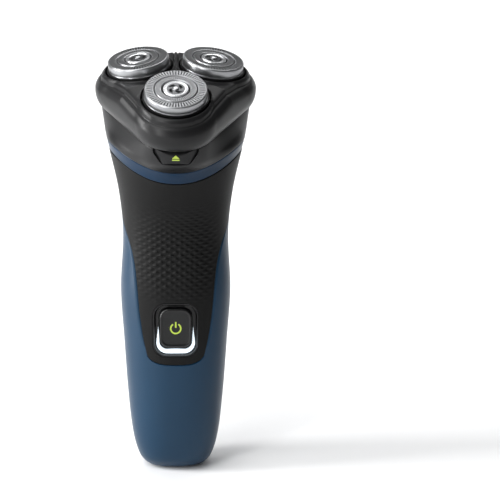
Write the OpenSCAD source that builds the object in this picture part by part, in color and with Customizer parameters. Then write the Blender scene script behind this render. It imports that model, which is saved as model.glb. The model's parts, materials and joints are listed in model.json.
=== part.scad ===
// Cordless rotary shaver with three flexing cutting heads, standing upright on its base.
// Millimetres. +Z runs up the handle, the front faces -Y, and the origin is the centre of the base.

/* [Handle] */
// Wall thickness of the rear shell
shell_wall = 1.8; // [1.4:0.1:2]
// Wall thickness of the front grip
grip_wall = 1.6; // [1.2:0.1:1.8]
// Height of the lower edge of the front grip, on the centre line
grip_low = 43.5; // [42:0.5:45]
// Number of facets round the handle's outlines, half of them on the front grip's side
outline_half = 12; // [8:1:14]

/* [Shaving head] */
// Forward tilt of the shaving head
head_tilt = 22; // [20:0.5:23]
// Outward lean of each cutting head
head_lean = 9; // [8:0.5:10]
// Radius of the circle through the three cutting heads, at their top faces
hub_circle = 16.2; // [16.1:0.1:16.4]
// Height of the cutting heads' top faces above the collar's rim
cap_height = 18; // [17.8:0.1:18.4]
// Outer radius of a shaving guard
guard_r = 11.4; // [11.2:0.05:11.5]
// Number of radial slots in each track of a guard
guard_slots = 36; // [24:4:48]
// Number of blades on a cutter
cutter_blades = 15; // [9:1:15]

/* [Drive] */
// Module of the gear teeth
gear_module = 0.5; // [0.5:0.01:0.51]
// Number of teeth on the motor pinion
pinion_teeth = 16; // [16:1:16]
// Number of teeth on each drive gear
gear_teeth = 44; // [44:1:44]
// Radius of the motor can
motor_r = 11; // [10:0.5:11.2]
// Length of the motor can
motor_length = 22; // [18:1:22]

/* [Buttons] */
// Width of the power button
button_w = 12.2; // [11:0.2:12.4]
// Height of the power button
button_h = 14.5; // [13:0.5:15]
// Height of the power button's centre above the base
button_z = 57.5; // [56.5:0.5:58.5]
// Width of the recess round the power button
bezel_w = 17.2; // [16.5:0.1:17.5]
// Height of the recess round the power button
bezel_h = 20.8; // [20:0.2:21.2]

/* [Power] */
// Radius of the battery cell
cell_r = 7; // [6.5:0.1:7]
// Length of the battery cell
cell_length = 49; // [44:1:50]

/* [Hidden] */
PARTS_OF_A_HEAD = ["head_ring", "shaving_guard", "guard_cap", "cutter"];
PARTS_OF_A_DRIVE = ["drive_gear", "coupling_spring", "drive_coupling"];

$fn = 64;

// Distance of the handle's middle behind the middle of the whole outline, because the head overhangs
spine_y = 10.9;

// Colours, as the object shows them
BLUE = "#1e3e5c";
BLACK = "#1c1c1d";
HEAD_BLACK = "#232324";
STEEL = "#b9bbbd";
LIME = "#b4c850";
RUBBER = "#2b2b2b";

// Running clearance between a pin and its hole
running_gap = 0.06;
// Gap between pieces that only pass each other
free_gap = 0.3;

// Shaving head's own frame: the collar's rim on the head's axis, tilted forward by head_tilt
head_y = spine_y - 7;
head_z = 138.5;
// Directions of the three cutting heads round the axis: front, rear right, rear left
hub_angles = [270, 30, 150];
// Depth of the drive coupling below a cutting head's top face, along its own axis
socket_depth = 8.5;
// Radius of the circle through the three drive spindles, under the leaning cutters' sockets
spindle_circle = gear_module * (pinion_teeth + gear_teeth) / 2;

// A point on the head's axis at height w, in the handle's frame
function axis_point(w) = [0, head_y - w * sin(head_tilt), head_z + w * cos(head_tilt)];

// Outlines of the handle and collar, from the base up. Each row is
// [height, centre y, centre z, tilt, half width, front depth, rear depth, squareness, lobing, lobe radius,
// bend], where bend is 0 for a flat outline, and more for one that is level at the sides and dips in front.
function upright(z, y, tilt, half, front, rear, square, bend = 0) =
    [z, spine_y + y, z, tilt, half, front, rear, square, 0, 14, bend];
function tilted(w, tilt, half, front, rear, square, lobing, lobe_r, bend = 0) =
    let (p = axis_point(w))
    [p[2], p[1], p[2], tilt, half, front, rear, square, lobing, lobe_r, bend];
band_low_w = -15.3;
band_top_w = -11.4;
BODY = [
    upright(0, -2.5, 0, 11.6, 8.6, 8.2, 2.4),
    upright(1.2, -2.4, 0, 13.0, 10.4, 10.0, 2.4),
    upright(5, -2.1, 0, 14.7, 12.9, 12.4, 2.4),
    upright(14, -1.5, 0, 16.7, 15.3, 14.8, 2.4),
    upright(30, -0.6, 0, 18.45, 17.0, 16.4, 2.4),
    upright(50, 0, 0, 19.85, 17.8, 17.2, 2.4),
    upright(70, 0.4, 1, 21.05, 17.8, 17.3, 2.4),
    upright(92, 0.2, 5, 20.1, 17.0, 17.4, 2.35),
    upright(108, -0.4, 14, 21.6, 19.3, 19.6, 2.25, 0.5),
    tilted(band_low_w, head_tilt + 4, 25.1, 24.6, 21.2, 2.1, 0, 14, 1.2),
    tilted(band_top_w, head_tilt, 25.95, 25.6, 22.0, 2.05, 0.08, 14, 1.2),
    tilted(-6, head_tilt, 27.0, 28.4, 22.8, 2, 0.6, 13.8, 0.2),
    tilted(0, head_tilt, 28.2, 30.5, 22.3, 2, 1, 14)];
band_low = axis_point(band_low_w)[2];
band_top = axis_point(band_top_w)[2];
rim = axis_point(0)[2];

// Half angle of the front grip round the handle, against height
GRIP_EDGE = [[40, 34], [50, 39], [56, 41], [68, 44.5], [74, 46.5], [83, 52], [91.5, 63],
    [100, 84], [108, 104], [band_low, 118]];

// ---- Smooth interpolation between the rows of a table ----
function row_index(rows, h, i = 0) =
    i >= len(rows) - 2 || h < rows[i + 1][0] ? i : row_index(rows, h, i + 1);
function row_slope(rows, i) =
    let (lo = max(i - 1, 0), hi = min(i + 1, len(rows) - 1))
    (rows[hi] - rows[lo]) / (rows[hi][0] - rows[lo][0]);
function row_at(rows, h) =
    let (i = row_index(rows, h), d = rows[i + 1][0] - rows[i][0], s = (h - rows[i][0]) / d)
    (2 * s^3 - 3 * s^2 + 1) * rows[i] + (s^3 - 2 * s^2 + s) * d * row_slope(rows, i)
    + (3 * s^2 - 2 * s^3) * rows[i + 1] + (s^3 - s^2) * d * row_slope(rows, i + 1);

// ---- Outlines: t is the angle round the axis, 0 at the front and 90 at +X ----
// Three round lobes of radius r at the cutting heads, joined by straight sides
function lobed_radius(t, r) =
    let (d = abs((t + 420) % 120 - 60), tangent = atan2(r * sin(60), hub_circle + r * cos(60)))
    d < tangent ? hub_circle * cos(d) + sqrt(r^2 - (hub_circle * sin(d))^2)
                : (hub_circle / 2 + r) / cos(60 - d);
function outline_radius(row, t, inset) =
    let (half = row[4] - inset, depth = (cos(t) > 0 ? row[5] : row[6]) - inset, n = row[7])
    (1 - row[8]) * pow(pow(abs(sin(t)) / half, n) + pow(abs(cos(t)) / depth, n), -1 / n)
    + row[8] * lobed_radius(t, row[9] - inset);
function surface_point(row, t, inset = 0) =
    let (r = outline_radius(row, t, inset), y = -r * cos(t), depth = (cos(t) > 0 ? row[5] : row[6]) - inset,
         share = pow(abs(y) / depth, max(row[10], 0)))
    [r * sin(t), row[1] + y * cos(row[3]), row[2] + y * sin(row[3]) * share];

// ---- A shell between two grids of points, with a wall wherever a cell is left out ----
function quad(p, q, r, s) = [[p, q, r], [p, r, s]];
module patch_shell(outer, inner, kept, closed = true, cap = false) {
    rows = len(outer);
    cols = len(outer[0]);
    total = rows * cols;
    function out(i, j) = i * cols + j % cols;
    function in(i, j) = total + out(i, j);
    function on(i, j) = i >= 0 && i < rows - 1
        && (closed ? kept[i][(j + cols) % cols] : j >= 0 && j < cols - 1 && kept[i][j]);
    polyhedron(
        points = concat([for (r = outer) each r], [for (r = inner) each r]),
        faces = concat(
            [for (i = [0 : rows - 2], j = [0 : cols - (closed ? 1 : 2)]) if (on(i, j)) each concat(
                quad(out(i, j), out(i + 1, j), out(i + 1, j + 1), out(i, j + 1)),
                quad(in(i, j), in(i, j + 1), in(i + 1, j + 1), in(i + 1, j)),
                on(i - 1, j) ? [] : quad(out(i, j), out(i, j + 1), in(i, j + 1), in(i, j)),
                on(i, j + 1) ? []
                    : quad(out(i, j + 1), out(i + 1, j + 1), in(i + 1, j + 1), in(i, j + 1)),
                on(i + 1, j) || (cap && i == rows - 2) ? []
                    : quad(out(i + 1, j + 1), out(i + 1, j), in(i + 1, j), in(i + 1, j + 1)),
                on(i, j - 1) ? [] : quad(out(i + 1, j), out(i, j), in(i, j), in(i + 1, j)))],
            cap ? [[for (j = [cols - 1 : -1 : 0]) out(rows - 1, j)],
                   [for (j = [0 : cols - 1]) in(rows - 1, j)]] : []),
        convexity = 8);
}
function all_kept(rows, cols) = [for (i = [1 : rows]) [for (j = [1 : cols]) true]];

// ---- The handle's grid: its columns follow the front grip's edge ----
corner_rise = 7;
corner_reach = 20;
function grip_angle(h) = row_at(GRIP_EDGE, min(max(h, GRIP_EDGE[0][0]), band_low))[1];
function edge_share(h) = max(0, 1 - abs(h - grip_low) / corner_reach);
function corner_lift(u) = 1 - pow(1 - pow(abs(u), 3), 1 / 3);
// Columns run from the grip's left edge across the front, then round the back
function column_angle(h, j) =
    let (edge = grip_angle(h), n = outline_half)
    j <= 2 * n ? edge * sin(90 * (j - n) / n) : edge + (360 - 2 * edge) * (j - 2 * n) / (2 * n);
function column_lift(h, j) =
    let (n = outline_half)
    corner_rise * edge_share(h)
    * (j <= 2 * n ? corner_lift(sin(90 * (j - n) / n)) : abs(j - 3 * n) / n);
function handle_point(h, j, inset) =
    let (lifted = h + column_lift(h, j), row = row_at(BODY, lifted),
         p = surface_point(row, column_angle(h, j), inset))
    [p[0], p[1], lifted < 20 && inset > 0 ? inset + p[2] * (1 - inset / 20) : p[2]];
low_heights = [0, 0.5, 1.2, 2.4, 5, 9, 14, 20, 27, 34, 39];
high_heights = [grip_low, 46, 49, 53, 58, 64, 70, 76, 82, 88, 94, 100, 106, 112, 118, band_low];

socket_hole_w = 10;
socket_hole_d = 6.4;
// The charging socket's hole, as the first row of the shell's grid
function socket_hole_point(j, z) =
    surface_point([0, BODY[0][1], z, 0, socket_hole_w / 2, socket_hole_d / 2, socket_hole_d / 2, 4, 0, 14, 0],
        column_angle(0, j));
module rear_shell() color(BLUE) {
    heights = concat(low_heights, high_heights);
    cols = 4 * outline_half;
    patch_shell(
        concat([[for (j = [0 : cols - 1]) socket_hole_point(j, 0)]],
            [for (h = heights) [for (j = [0 : cols - 1]) handle_point(h, j, 0)]]),
        concat([[for (j = [0 : cols - 1]) socket_hole_point(j, shell_wall)]],
            [for (h = heights) [for (j = [0 : cols - 1]) handle_point(h, j, shell_wall)]]),
        [for (i = [0 : len(heights) - 1])
            [for (j = [0 : cols - 1]) i <= len(low_heights) || j >= 2 * outline_half]]);
}

module at_spine() translate([0, spine_y, 0]) children();
function rounded(w, h, r) = [for (corner = [0:3], k = [0:6])
    let (a = 90 * corner + 15 * k, sx = (corner == 0 || corner == 3) ? 1 : -1, sy = corner < 2 ? 1 : -1)
    [sx * (w / 2 - r) + r * cos(a), sy * (h / 2 - r) + r * sin(a)]];
// Extrudes a drawing in X and Z from the plane y back, towards the front
module facing_front(back, depth)
    at_spine() translate([0, back, 0]) rotate([90, 0, 0]) linear_extrude(depth) children();
bezel_corner = 5;
module bezel_outline(grow = 0) translate([0, button_z - 0.4])
    polygon(rounded(bezel_w + 2 * grow, bezel_h + 2 * grow, bezel_corner + grow));

module front_grip() color(BLACK) difference() {
    patch_shell(
        [for (h = high_heights) [for (j = [0 : 2 * outline_half]) handle_point(h, j, 0)]],
        [for (h = high_heights) [for (j = [0 : 2 * outline_half]) handle_point(h, j, grip_wall)]],
        all_kept(len(high_heights), 2 * outline_half), closed = false);
    facing_front(-10, 12) bezel_outline(0.05);
}

// A ring of the body's outline between two heights
module body_ring(low, high, steps, wall) {
    cols = 4 * outline_half;
    heights = [for (i = [0 : steps]) low + (high - low) * i / steps];
    patch_shell(
        [for (h = heights) [for (j = [0 : cols - 1]) surface_point(row_at(BODY, h), 360 * j / cols)]],
        [for (h = heights) [for (j = [0 : cols - 1]) surface_point(row_at(BODY, h), 360 * j / cols, wall)]],
        all_kept(steps, cols));
}
// The band starts just above the handle's top edge
seam = 0.05;
module accent_band() color("#24506e") body_ring(band_low + seam, band_top, 1, shell_wall);

module at_head() translate([0, head_y, head_z]) rotate([head_tilt, 0, 0]) children();
module at_hub(i) at_head() rotate([0, 0, hub_angles[i]]) translate([hub_circle, 0, cap_height])
    rotate([0, head_lean, 0]) children();
module at_spindle(i) at_head() rotate([0, 0, hub_angles[i]]) translate([spindle_circle, 0, 0]) children();
module tube(low, high, r_out, r_in) translate([0, 0, low]) difference() {
    cylinder(r = r_out, h = high - low);
    translate([0, 0, -1]) cylinder(r = r_in, h = high - low + 2);
}
module rod(low, high, r) translate([0, 0, low]) cylinder(r = r, h = high - low);
// A cylinder along X between two places
module cross_rod(x0, x1, r) translate([x0, 0, 0]) rotate([0, 90, 0]) cylinder(r = r, h = x1 - x0);
module lobed_plate(low, high, r) translate([0, 0, low]) linear_extrude(high - low)
    polygon([for (j = [0 : 71]) lobed_radius(5 * j, r) * [sin(5 * j), -cos(5 * j)]]);

// ---- Hinge of the shaving unit, behind the head ----
hinge_back = 23;
hinge_w = 1;
knuckle_r = 2;
pin_r = 0.8;
knuckle_half = 6.5;
ear_w = 3.6;
module at_hinge() at_head() translate([0, hinge_back, hinge_w]) children();

// ---- Release button's notch: wide at the rim and narrower below ----
release_top = 8.2;
release_low = 5;
release_h = 6;
release_face = 13.3;
module release_outline(grow) polygon([
    [-release_top - grow, 1], [-release_top - grow, -1.6], [-release_low - grow, -release_h - grow],
    [release_low + grow, -release_h - grow], [release_top + grow, -1.6], [release_top + grow, 1]]);

module collar() color(HEAD_BLACK) difference() {
    union() {
        difference() {
            body_ring(band_top, rim, 4, shell_wall);
            at_hinge() cross_rod(-knuckle_half - free_gap, knuckle_half + free_gap, knuckle_r + free_gap);
        }
        for (side = [-1, 1]) at_hinge() translate([side * (knuckle_half + free_gap + ear_w / 2), 0, 0]) {
            cross_rod(-ear_w / 2, ear_w / 2, knuckle_r);
            translate([-ear_w / 2, -knuckle_r, -hinge_w - 2.6]) cube([ear_w, 1.6 * knuckle_r, hinge_w + 2.6]);
        }
    }
    at_head() translate([0, -24, 0]) rotate([90, 0, 0]) linear_extrude(12) release_outline(0.25);
    at_hinge() cross_rod(-12, 12, pin_r);
}

module unit_hinge_pin() color(STEEL) at_hinge() {
    reach = knuckle_half + free_gap + ear_w;
    cross_rod(-reach, reach, pin_r);
}

// ---- Inside the handle ----
chassis_back = -2;
chassis_t = 1.4;
chassis_w = 27;
chassis_low = 11.6;
chassis_top = 104;
// Shelves that hold the battery cell at its ends
shelf_w = 17;
shelf_depth = 11.5;
screw_places = [[-11, 14], [11, 14], [-11, 92], [11, 92]];
module chassis() color("#3a3c3f") at_spine() difference() {
    union() {
        translate([-chassis_w / 2, chassis_back - chassis_t, chassis_low])
            cube([chassis_w, chassis_t, chassis_top - chassis_low]);
        for (side = [-1, 1], z = [24, 42, 60])
            translate([side * (cell_r + 0.9) - 0.7, chassis_back, z]) cube([1.4, 7.5, 5]);
        for (z = [cell_low - 1.6, cell_low + cell_length + 0.6])
            translate([-shelf_w / 2, chassis_back, z]) cube([shelf_w, shelf_depth, 1.4]);
    }
    for (p = screw_places) translate([p[0], 0, p[1]]) rotate([90, 0, 0]) cylinder(r = 0.85, h = 20);
    for (x = [-4, 4]) translate([x, 0, cell_low - 3]) cylinder(r = 1.1, h = 60);
}
board_t = 1.2;
board_back = chassis_back - chassis_t - 1;
module circuit_board() color("#2f5d3a") at_spine() difference() {
    translate([-12.8, board_back - board_t, 11]) cube([25.6, board_t, 88]);
    for (p = screw_places) translate([p[0], 0, p[1]]) rotate([90, 0, 0]) cylinder(r = 1.15, h = 20);
}
module chassis_screws() color(STEEL) at_spine() for (p = screw_places)
    translate([p[0], 0, p[1]]) rotate([90, 0, 0]) {
    translate([0, 0, -chassis_back + 0.1]) cylinder(r = 0.85, h = 3.6);
    translate([0, 0, -board_back + board_t]) cylinder(r = 1.7, h = 1.1);
}
cell_low = 19;
cell_y = 5.2;
module battery_cell() color("#4f7f4a") at_spine() translate([0, cell_y, cell_low]) {
    cylinder(r = cell_r, h = cell_length - 1.2);
    translate([0, 0, cell_length - 1.2]) cylinder(r = 2.6, h = 1.2);
}
module battery_tabs() color(STEEL) at_spine() {
    translate([-2.5, cell_y - 4, cell_low - 0.2]) cube([5, 8, 0.2]);
    translate([-2.5, cell_y - 4, cell_low + cell_length]) cube([5, 8, 0.2]);
}
switch_half = 3;
module tact_switch() color("#8d8f92") at_spine()
    translate([0, board_back - board_t, button_z]) rotate([90, 0, 0]) {
    translate([-switch_half, -switch_half, 0]) cube([2 * switch_half, 2 * switch_half, 2.4]);
    translate([0, 0, 2.4]) cylinder(r = 1.6, h = 0.6);
}
module status_led() color("white") at_spine() translate([-1.6, board_back - board_t - 1, button_z - 10.4])
    cube([3.2, 1, 1.6]);

// ---- Power button in its recess ----
bezel_floor = -15.4;
bezel_back = -14.0;
button_face = -17.5;
button_back = -13.4;
button_corner = 3.4;
module button_outline(grow = 0) translate([0, button_z])
    polygon(rounded(button_w + 2 * grow, button_h + 2 * grow, button_corner + grow));
// The lit crescent below the button, thickest at the bottom of the recess
module guide_outline() intersection() {
    difference() {
        translate([0, button_z - 0.4]) polygon(rounded(bezel_w - 0.8, bezel_h - 0.8, bezel_corner - 0.4));
        translate([0, button_z + 2.2]) polygon(rounded(button_w + 2.6, button_h + 5, button_corner + 2));
    }
    translate([-bezel_w, button_z - bezel_h]) square([2 * bezel_w, bezel_h + 3]);
}
module button_bezel() color(BLACK) difference() {
    facing_front(bezel_back, 2.3) bezel_outline();
    facing_front(bezel_floor, 2) translate([0, button_z - 0.4])
        polygon(rounded(bezel_w - 0.8, bezel_h - 0.8, bezel_corner - 0.4));
    facing_front(-10, 12) button_outline(free_gap);
}
module light_guide() color("#eef4fb") facing_front(bezel_floor, 0.7) guide_outline();
module button_gasket() color(RUBBER) facing_front(bezel_back + 0.6, 0.6) difference() {
    translate([0, button_z]) polygon(rounded(bezel_w - 1, bezel_h - 2, bezel_corner));
    button_outline(0.8);
}
symbol_r = 1.9;
symbol_t = 0.5;
symbol_depth = 0.3;
module symbol_outline() translate([0, button_z - 0.1]) {
    intersection() {
        difference() {
            circle(r = symbol_r + symbol_t / 2);
            circle(r = symbol_r - symbol_t / 2);
        }
        polygon([[0, 0], [-1.9, 3.4], [-5, 3.4], [-5, -4], [5, -4], [5, 3.4], [1.9, 3.4]]);
    }
    translate([-symbol_t / 2, 0.5]) square([symbol_t, 2.1]);
}
module power_button() color(BLACK) difference() {
    union() {
        facing_front(button_back, button_back - button_face) button_outline();
        facing_front(board_back - board_t - 3.9, -button_back - (3.9 + board_t - board_back) + 0.1)
            translate([0, button_z]) circle(r = 1.5);
    }
    facing_front(button_face + symbol_depth, symbol_depth + 1) symbol_outline();
}
module power_symbol() color(LIME) facing_front(button_face + symbol_depth, symbol_depth) symbol_outline();

// ---- Charging inlet in the base ----
inlet_depth = 8;
pin_tip = 4.6;
module charging_socket() color(BLACK) translate([0, BODY[0][1], 0]) difference() {
    union() {
        linear_extrude(inlet_depth + 1.2) polygon(rounded(9.6, 6, 1.6));
        translate([0, 0, 2.2]) linear_extrude(1.4) polygon(rounded(13, 9.4, 2));
    }
    translate([0, 0, -1]) linear_extrude(inlet_depth + 1) polygon(rounded(8.4, 4.8, 1.4));
    for (x = [-1.8, 1.8]) translate([x, 0, 0]) cylinder(r = 0.6, h = 20);
}
module socket_pins() color(STEEL) for (x = [-1.8, 1.8])
    translate([x, BODY[0][1], pin_tip]) cylinder(r = 0.6, h = inlet_depth + 3 - pin_tip);

// ---- Motor, on the head's axis ----
mount_low = -8;
mount_top = -6.6;
motor_top = mount_low - 0.2;
motor_low = motor_top - motor_length;
can_t = 0.8;
shaft_r = 1;
module motor_can() color("#a7a9ac") at_head() difference() {
    rod(motor_low, motor_top, motor_r);
    rod(motor_low + can_t, motor_top - can_t, motor_r - can_t);
    rod(motor_low - 1, motor_top + 1, shaft_r + running_gap);
    for (side = [-1, 1]) translate([side * 7.6, 0, 0]) rod(motor_top - 2, motor_top + 1, 0.8);
}
armature_r = 7.4;
module motor_magnets() color("#3d3f42") at_head() difference() {
    tube(motor_low + 5, motor_top - 3, motor_r - can_t, armature_r + 0.5);
    translate([-2, -20, motor_low]) cube([4, 40, motor_length]);
}
module motor_armature() color("#7d4a2a") at_head() difference() {
    tube(motor_low + 5.5, motor_top - 3.5, armature_r, shaft_r);
    for (k = [0:4]) rotate([0, 0, 72 * k]) translate([4, -0.6, motor_low]) cube([6, 1.2, motor_length]);
}
module motor_shaft() color(STEEL) at_head() rod(motor_low + can_t / 2, -2.2, shaft_r);
cradle_t = 0.9;
module motor_cradle() color(RUBBER) at_head() difference() {
    rod(motor_low - 1.2, motor_low + 4.8, motor_r + cradle_t);
    rod(motor_low, motor_low + 6, motor_r);
    rod(motor_low - 2, motor_low + 1, 5);
}
axle_r = 0.9;
axle_top = 2;
mount_r = 19.4;
module motor_mount() color("#55585c") at_head() difference() {
    union() {
        rod(mount_low, mount_top, mount_r);
        for (a = hub_angles) rotate([0, 0, a + 60]) translate([16.4, 0, 0]) rod(mount_low + 0.2, -1.8, 2.2);
    }
    rod(mount_low - 1, mount_top + 1, 4.2);
    for (a = hub_angles) rotate([0, 0, a]) translate([spindle_circle, 0, 0]) rod(-9, -6, axle_r);
    for (side = [-1, 1]) translate([side * 7.6, 0, 0]) rod(-9, -6, 0.9);
    for (a = hub_angles) rotate([0, 0, a + 60]) translate([16.4, 0, 0]) rod(-9, 0, 0.7);
}
module motor_screws() color(STEEL) at_head() for (side = [-1, 1]) translate([side * 7.6, 0, 0]) {
    rod(motor_top - 1.6, mount_top, 0.8);
    rod(mount_top, mount_top + 0.9, 1.6);
}
module gear_axles() color(STEEL) for (i = [0:2]) at_spindle(i) rod(mount_low, axle_top, axle_r);

// ---- Gears ----
gear_low = -5.2;
gear_high = -2.4;
backlash = 0.06;
function inv(a) = tan(a) * 180 / PI - a;
// Half the angle of a tooth at radius r
function tooth_half(z, r) =
    let (pitch_r = gear_module * z / 2, base_r = pitch_r * cos(20))
    90 / z - backlash / pitch_r * 90 / PI + inv(20) - inv(r > base_r ? acos(base_r / r) : 0);
module gear_outline(z) {
    pitch_r = gear_module * z / 2;
    radii = [pitch_r - 1.25 * gear_module, pitch_r * cos(20) + 0.3 * gear_module,
        pitch_r + 0.3 * gear_module, pitch_r + gear_module];
    polygon([for (k = [0 : z - 1], side = [-1, 1], n = [0:3])
        let (r = radii[side < 0 ? n : 3 - n], a = 360 * k / z + side * tooth_half(z, r))
        r * [cos(a), sin(a)]]);
}
module motor_pinion() color("#e4dfd2") at_head() difference() {
    translate([0, 0, gear_low + 0.1]) linear_extrude(gear_high - gear_low - 0.2) gear_outline(pinion_teeth);
    rod(gear_low - 1, gear_high + 1, shaft_r);
}
// Turn that puts a gap between two of the gear's teeth on the pinion's tooth
function mesh_turn(a) = 180 + (a % (360 / pinion_teeth)) * pinion_teeth / gear_teeth + 180 / gear_teeth;
stem_r = 1.6;
stem_top = 5.2;
module drive_gear(i) color("#e4dfd2") at_spindle(i) difference() {
    union() {
        translate([0, 0, gear_low]) rotate([0, 0, mesh_turn(hub_angles[i])])
            linear_extrude(gear_high - gear_low) gear_outline(gear_teeth);
        rod(gear_low, stem_top, stem_r);
    }
    rod(gear_low - 1, axle_top + 0.3, axle_r + running_gap);
    for (k = [0:5]) rotate([0, 0, 60 * k]) translate([6.3, 0, 0]) rod(gear_low - 1, gear_high + 1, 1.9);
}
spring_r = 2.1;
wire_r = 0.2;
sleeve_low = 3.4;
spring_turns = 4;
spring_steps = 12;
// A coil spring round the gear's stem, swept as a tube with eight sides
module coupling_spring(i) color(STEEL) at_spindle(i) {
    low = gear_high + wire_r;
    rise = sleeve_low - gear_high - 2 * wire_r;
    n = spring_turns * spring_steps;
    points = [for (k = [0 : n], s = [0:7])
        let (a = 360 * k / spring_steps, b = 45 * s, r = spring_r + wire_r * cos(b))
        [r * cos(a), r * sin(a), low + rise * k / n + wire_r * sin(b)]];
    polyhedron(points, concat(
        [for (k = [0 : n - 1], s = [0:7]) each
            quad(8 * k + s, 8 * k + (s + 1) % 8, 8 * (k + 1) + (s + 1) % 8, 8 * (k + 1) + s)],
        [[for (s = [7 : -1 : 0]) s], [for (s = [0:7]) 8 * n + s]]));
}
tip_low = 9.2;
tip_top = 10.5;
tip_w = 2.2;
module drive_coupling(i) color("#d8d2c2") at_spindle(i) difference() {
    union() {
        rod(sleeve_low, 7, 2.4);
        rod(6.9, tip_top - 0.4, 1);
        translate([-tip_w / 2, -tip_w / 2, tip_low]) cube([tip_w, tip_w, tip_top - tip_low]);
    }
    rod(sleeve_low - 1, stem_top + 0.3, stem_r + running_gap);
}

// ---- Deck on top of the handle ----
deck_low = -1.6;
deck_top = -0.2;
deck_front = 23.2;
deck_lobe = 11.5;
// A lobed plate with a straight front edge, behind the release button
module deck_plate(low, high, r, front) intersection() {
    lobed_plate(low, high, r);
    translate([-40, -front, low - 1]) cube([80, front + 40, high - low + 2]);
}
module deck_cover() color(HEAD_BLACK) at_head() difference() {
    union() {
        deck_plate(deck_low, deck_top, deck_lobe, deck_front);
        for (a = hub_angles) rotate([0, 0, a]) translate([spindle_circle, 0, 0]) rod(deck_low, 2.4, 4);
    }
    for (a = hub_angles) rotate([0, 0, a]) translate([spindle_circle, 0, 0]) rod(-3, 4, 2.7);
    for (a = hub_angles) rotate([0, 0, a + 60]) translate([16.4, 0, 0]) rod(-3, 1, 0.9);
}
module at_deck_screws() for (a = hub_angles)
    at_head() rotate([0, 0, a + 60]) translate([16.4, 0, 0]) children();
module deck_screws() color(STEEL) at_deck_screws() {
    rod(mount_low + 1, deck_top, 0.7);
    rod(deck_top, deck_top + 0.8, 1.5);
}
module deck_seal() color(RUBBER) at_head() difference() {
    deck_plate(deck_top, 0.4, deck_lobe - 0.2, deck_front - 0.2);
    deck_plate(deck_top - 1, 1, deck_lobe - 1.1, deck_front - 1.1);
}

// The button's face has a plate behind its upper edge, which fills the gap in front of the deck
button_plate_back = 24.6;
button_plate_low = -1.6;
module release_button() color(HEAD_BLACK) at_head() difference() {
    intersection() {
        translate([0, -button_plate_back, 0]) rotate([90, 0, 0]) linear_extrude(12) intersection() {
            release_outline(0);
            translate([-20, -20]) square([40, 19.8]);
        }
        translate([0, -hub_circle, 0]) rod(-8, 1, release_face);
    }
    translate([0, -hub_circle, 0]) rod(-9, button_plate_low, release_face - 1.5);
    release_mark_cut();
}
mark_depth = 0.3;
module release_mark_cut() translate([0, -hub_circle - release_face + mark_depth + 0.1, 0])
    rotate([90, 0, 0]) linear_extrude(2) mark_outline();
// An open-lid mark: a triangle over a bar
module mark_outline() {
    polygon([[-1.5, -3.2], [1.5, -3.2], [0, -1.7]]);
    translate([-1.5, -4.1]) square([3, 0.5]);
}
module release_mark() color(LIME) at_head() translate([0, -hub_circle - release_face + mark_depth + 0.1, 0])
    rotate([90, 0, 0]) linear_extrude(mark_depth) mark_outline();

// ---- Shaving unit ----
pod_r = 13.7;
bore_r = 12.5;
pod_top = -3;
pod_low = -6.5;
pivot_t = -5.4;
// How far a cutting head's two pins reach from its axis
pin_reach = 13.1;
unit_wall = 1.6;
deck_thickness = 3.6;
// Lobe radius of the unit's bowl against height above the rim
BOWL = [[0.3, 13.9], [2.6, 14.1], [4, 14.9], [6, 15.95], [8, 16.3], [10, 16], [11.6, 15.3], [12.6, 14.6]];
// Its inside follows the outside up to the height wide_w, then goes straight up at lobe radius cavity_r
wide_w = 5;
cavity_r = 16;
function bowl_row(w, r) = [w, 0, w, 0, r, r, r, 2, 1, r, 0];
module bowl() {
    cols = 72;
    top = BOWL[len(BOWL) - 1][0];
    patch_shell(
        [for (b = BOWL) [for (j = [0 : cols - 1]) surface_point(bowl_row(b[0], b[1]), 5 * j)]],
        [for (b = BOWL)
            let (w = b[0] * (1 - deck_thickness / top), r = b[0] < wide_w ? b[1] : cavity_r)
            [for (j = [0 : cols - 1]) surface_point(bowl_row(w, r), 5 * j, unit_wall)]],
        all_kept(len(BOWL) - 1, cols), cap = true);
}
// The two stub pins on which a cutting head rocks, along its tangent
module rocker_pins(r, reach) for (side = [-1, 1]) translate([0, 0, pivot_t]) rotate([-90 * side, 0, 0])
    translate([0, 0, guard_r + 0.3]) cylinder(r = r, h = reach - guard_r - 0.3);
module head_frame() color(HEAD_BLACK) difference() {
    union() {
        at_head() bowl();
        for (i = [0:2]) at_hub(i) rod(pod_low, pod_top, pod_r);
        at_head() rod(11, 13.8, 7);
        at_hinge() cross_rod(-knuckle_half, knuckle_half, knuckle_r);
        at_hinge() translate([-knuckle_half, -knuckle_r, 0]) cube([2 * knuckle_half, knuckle_r, 2.6]);
    }
    for (i = [0:2]) at_hub(i) {
        rod(-14, 4, bore_r);
        rocker_pins(0.6 + running_gap, pin_reach + 0.15);
    }
    at_hinge() {
        cross_rod(-20, 20, pin_r + running_gap);
        for (side = [-1, 1]) translate([side * (knuckle_half + free_gap + ear_w / 2), 0, 0])
            cross_rod(-ear_w / 2 - 0.2, ear_w / 2 + free_gap, knuckle_r + free_gap);
    }
}
plate_low = 6.4;
plate_top = 7.6;
deck_low_face = 9;
module retaining_frame() color("#303134") at_head() difference() {
    union() {
        lobed_plate(plate_low, plate_top, 12.6);
        for (a = hub_angles) rotate([0, 0, a + 60]) translate([18.4, 0, 0])
            rod(plate_top - 0.2, deck_low_face, 1.2);
    }
    for (a = hub_angles) rotate([0, 0, a]) translate([spindle_circle, 0, 0])
        rod(plate_low - 2, plate_top + 2, 9.4);
}

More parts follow.
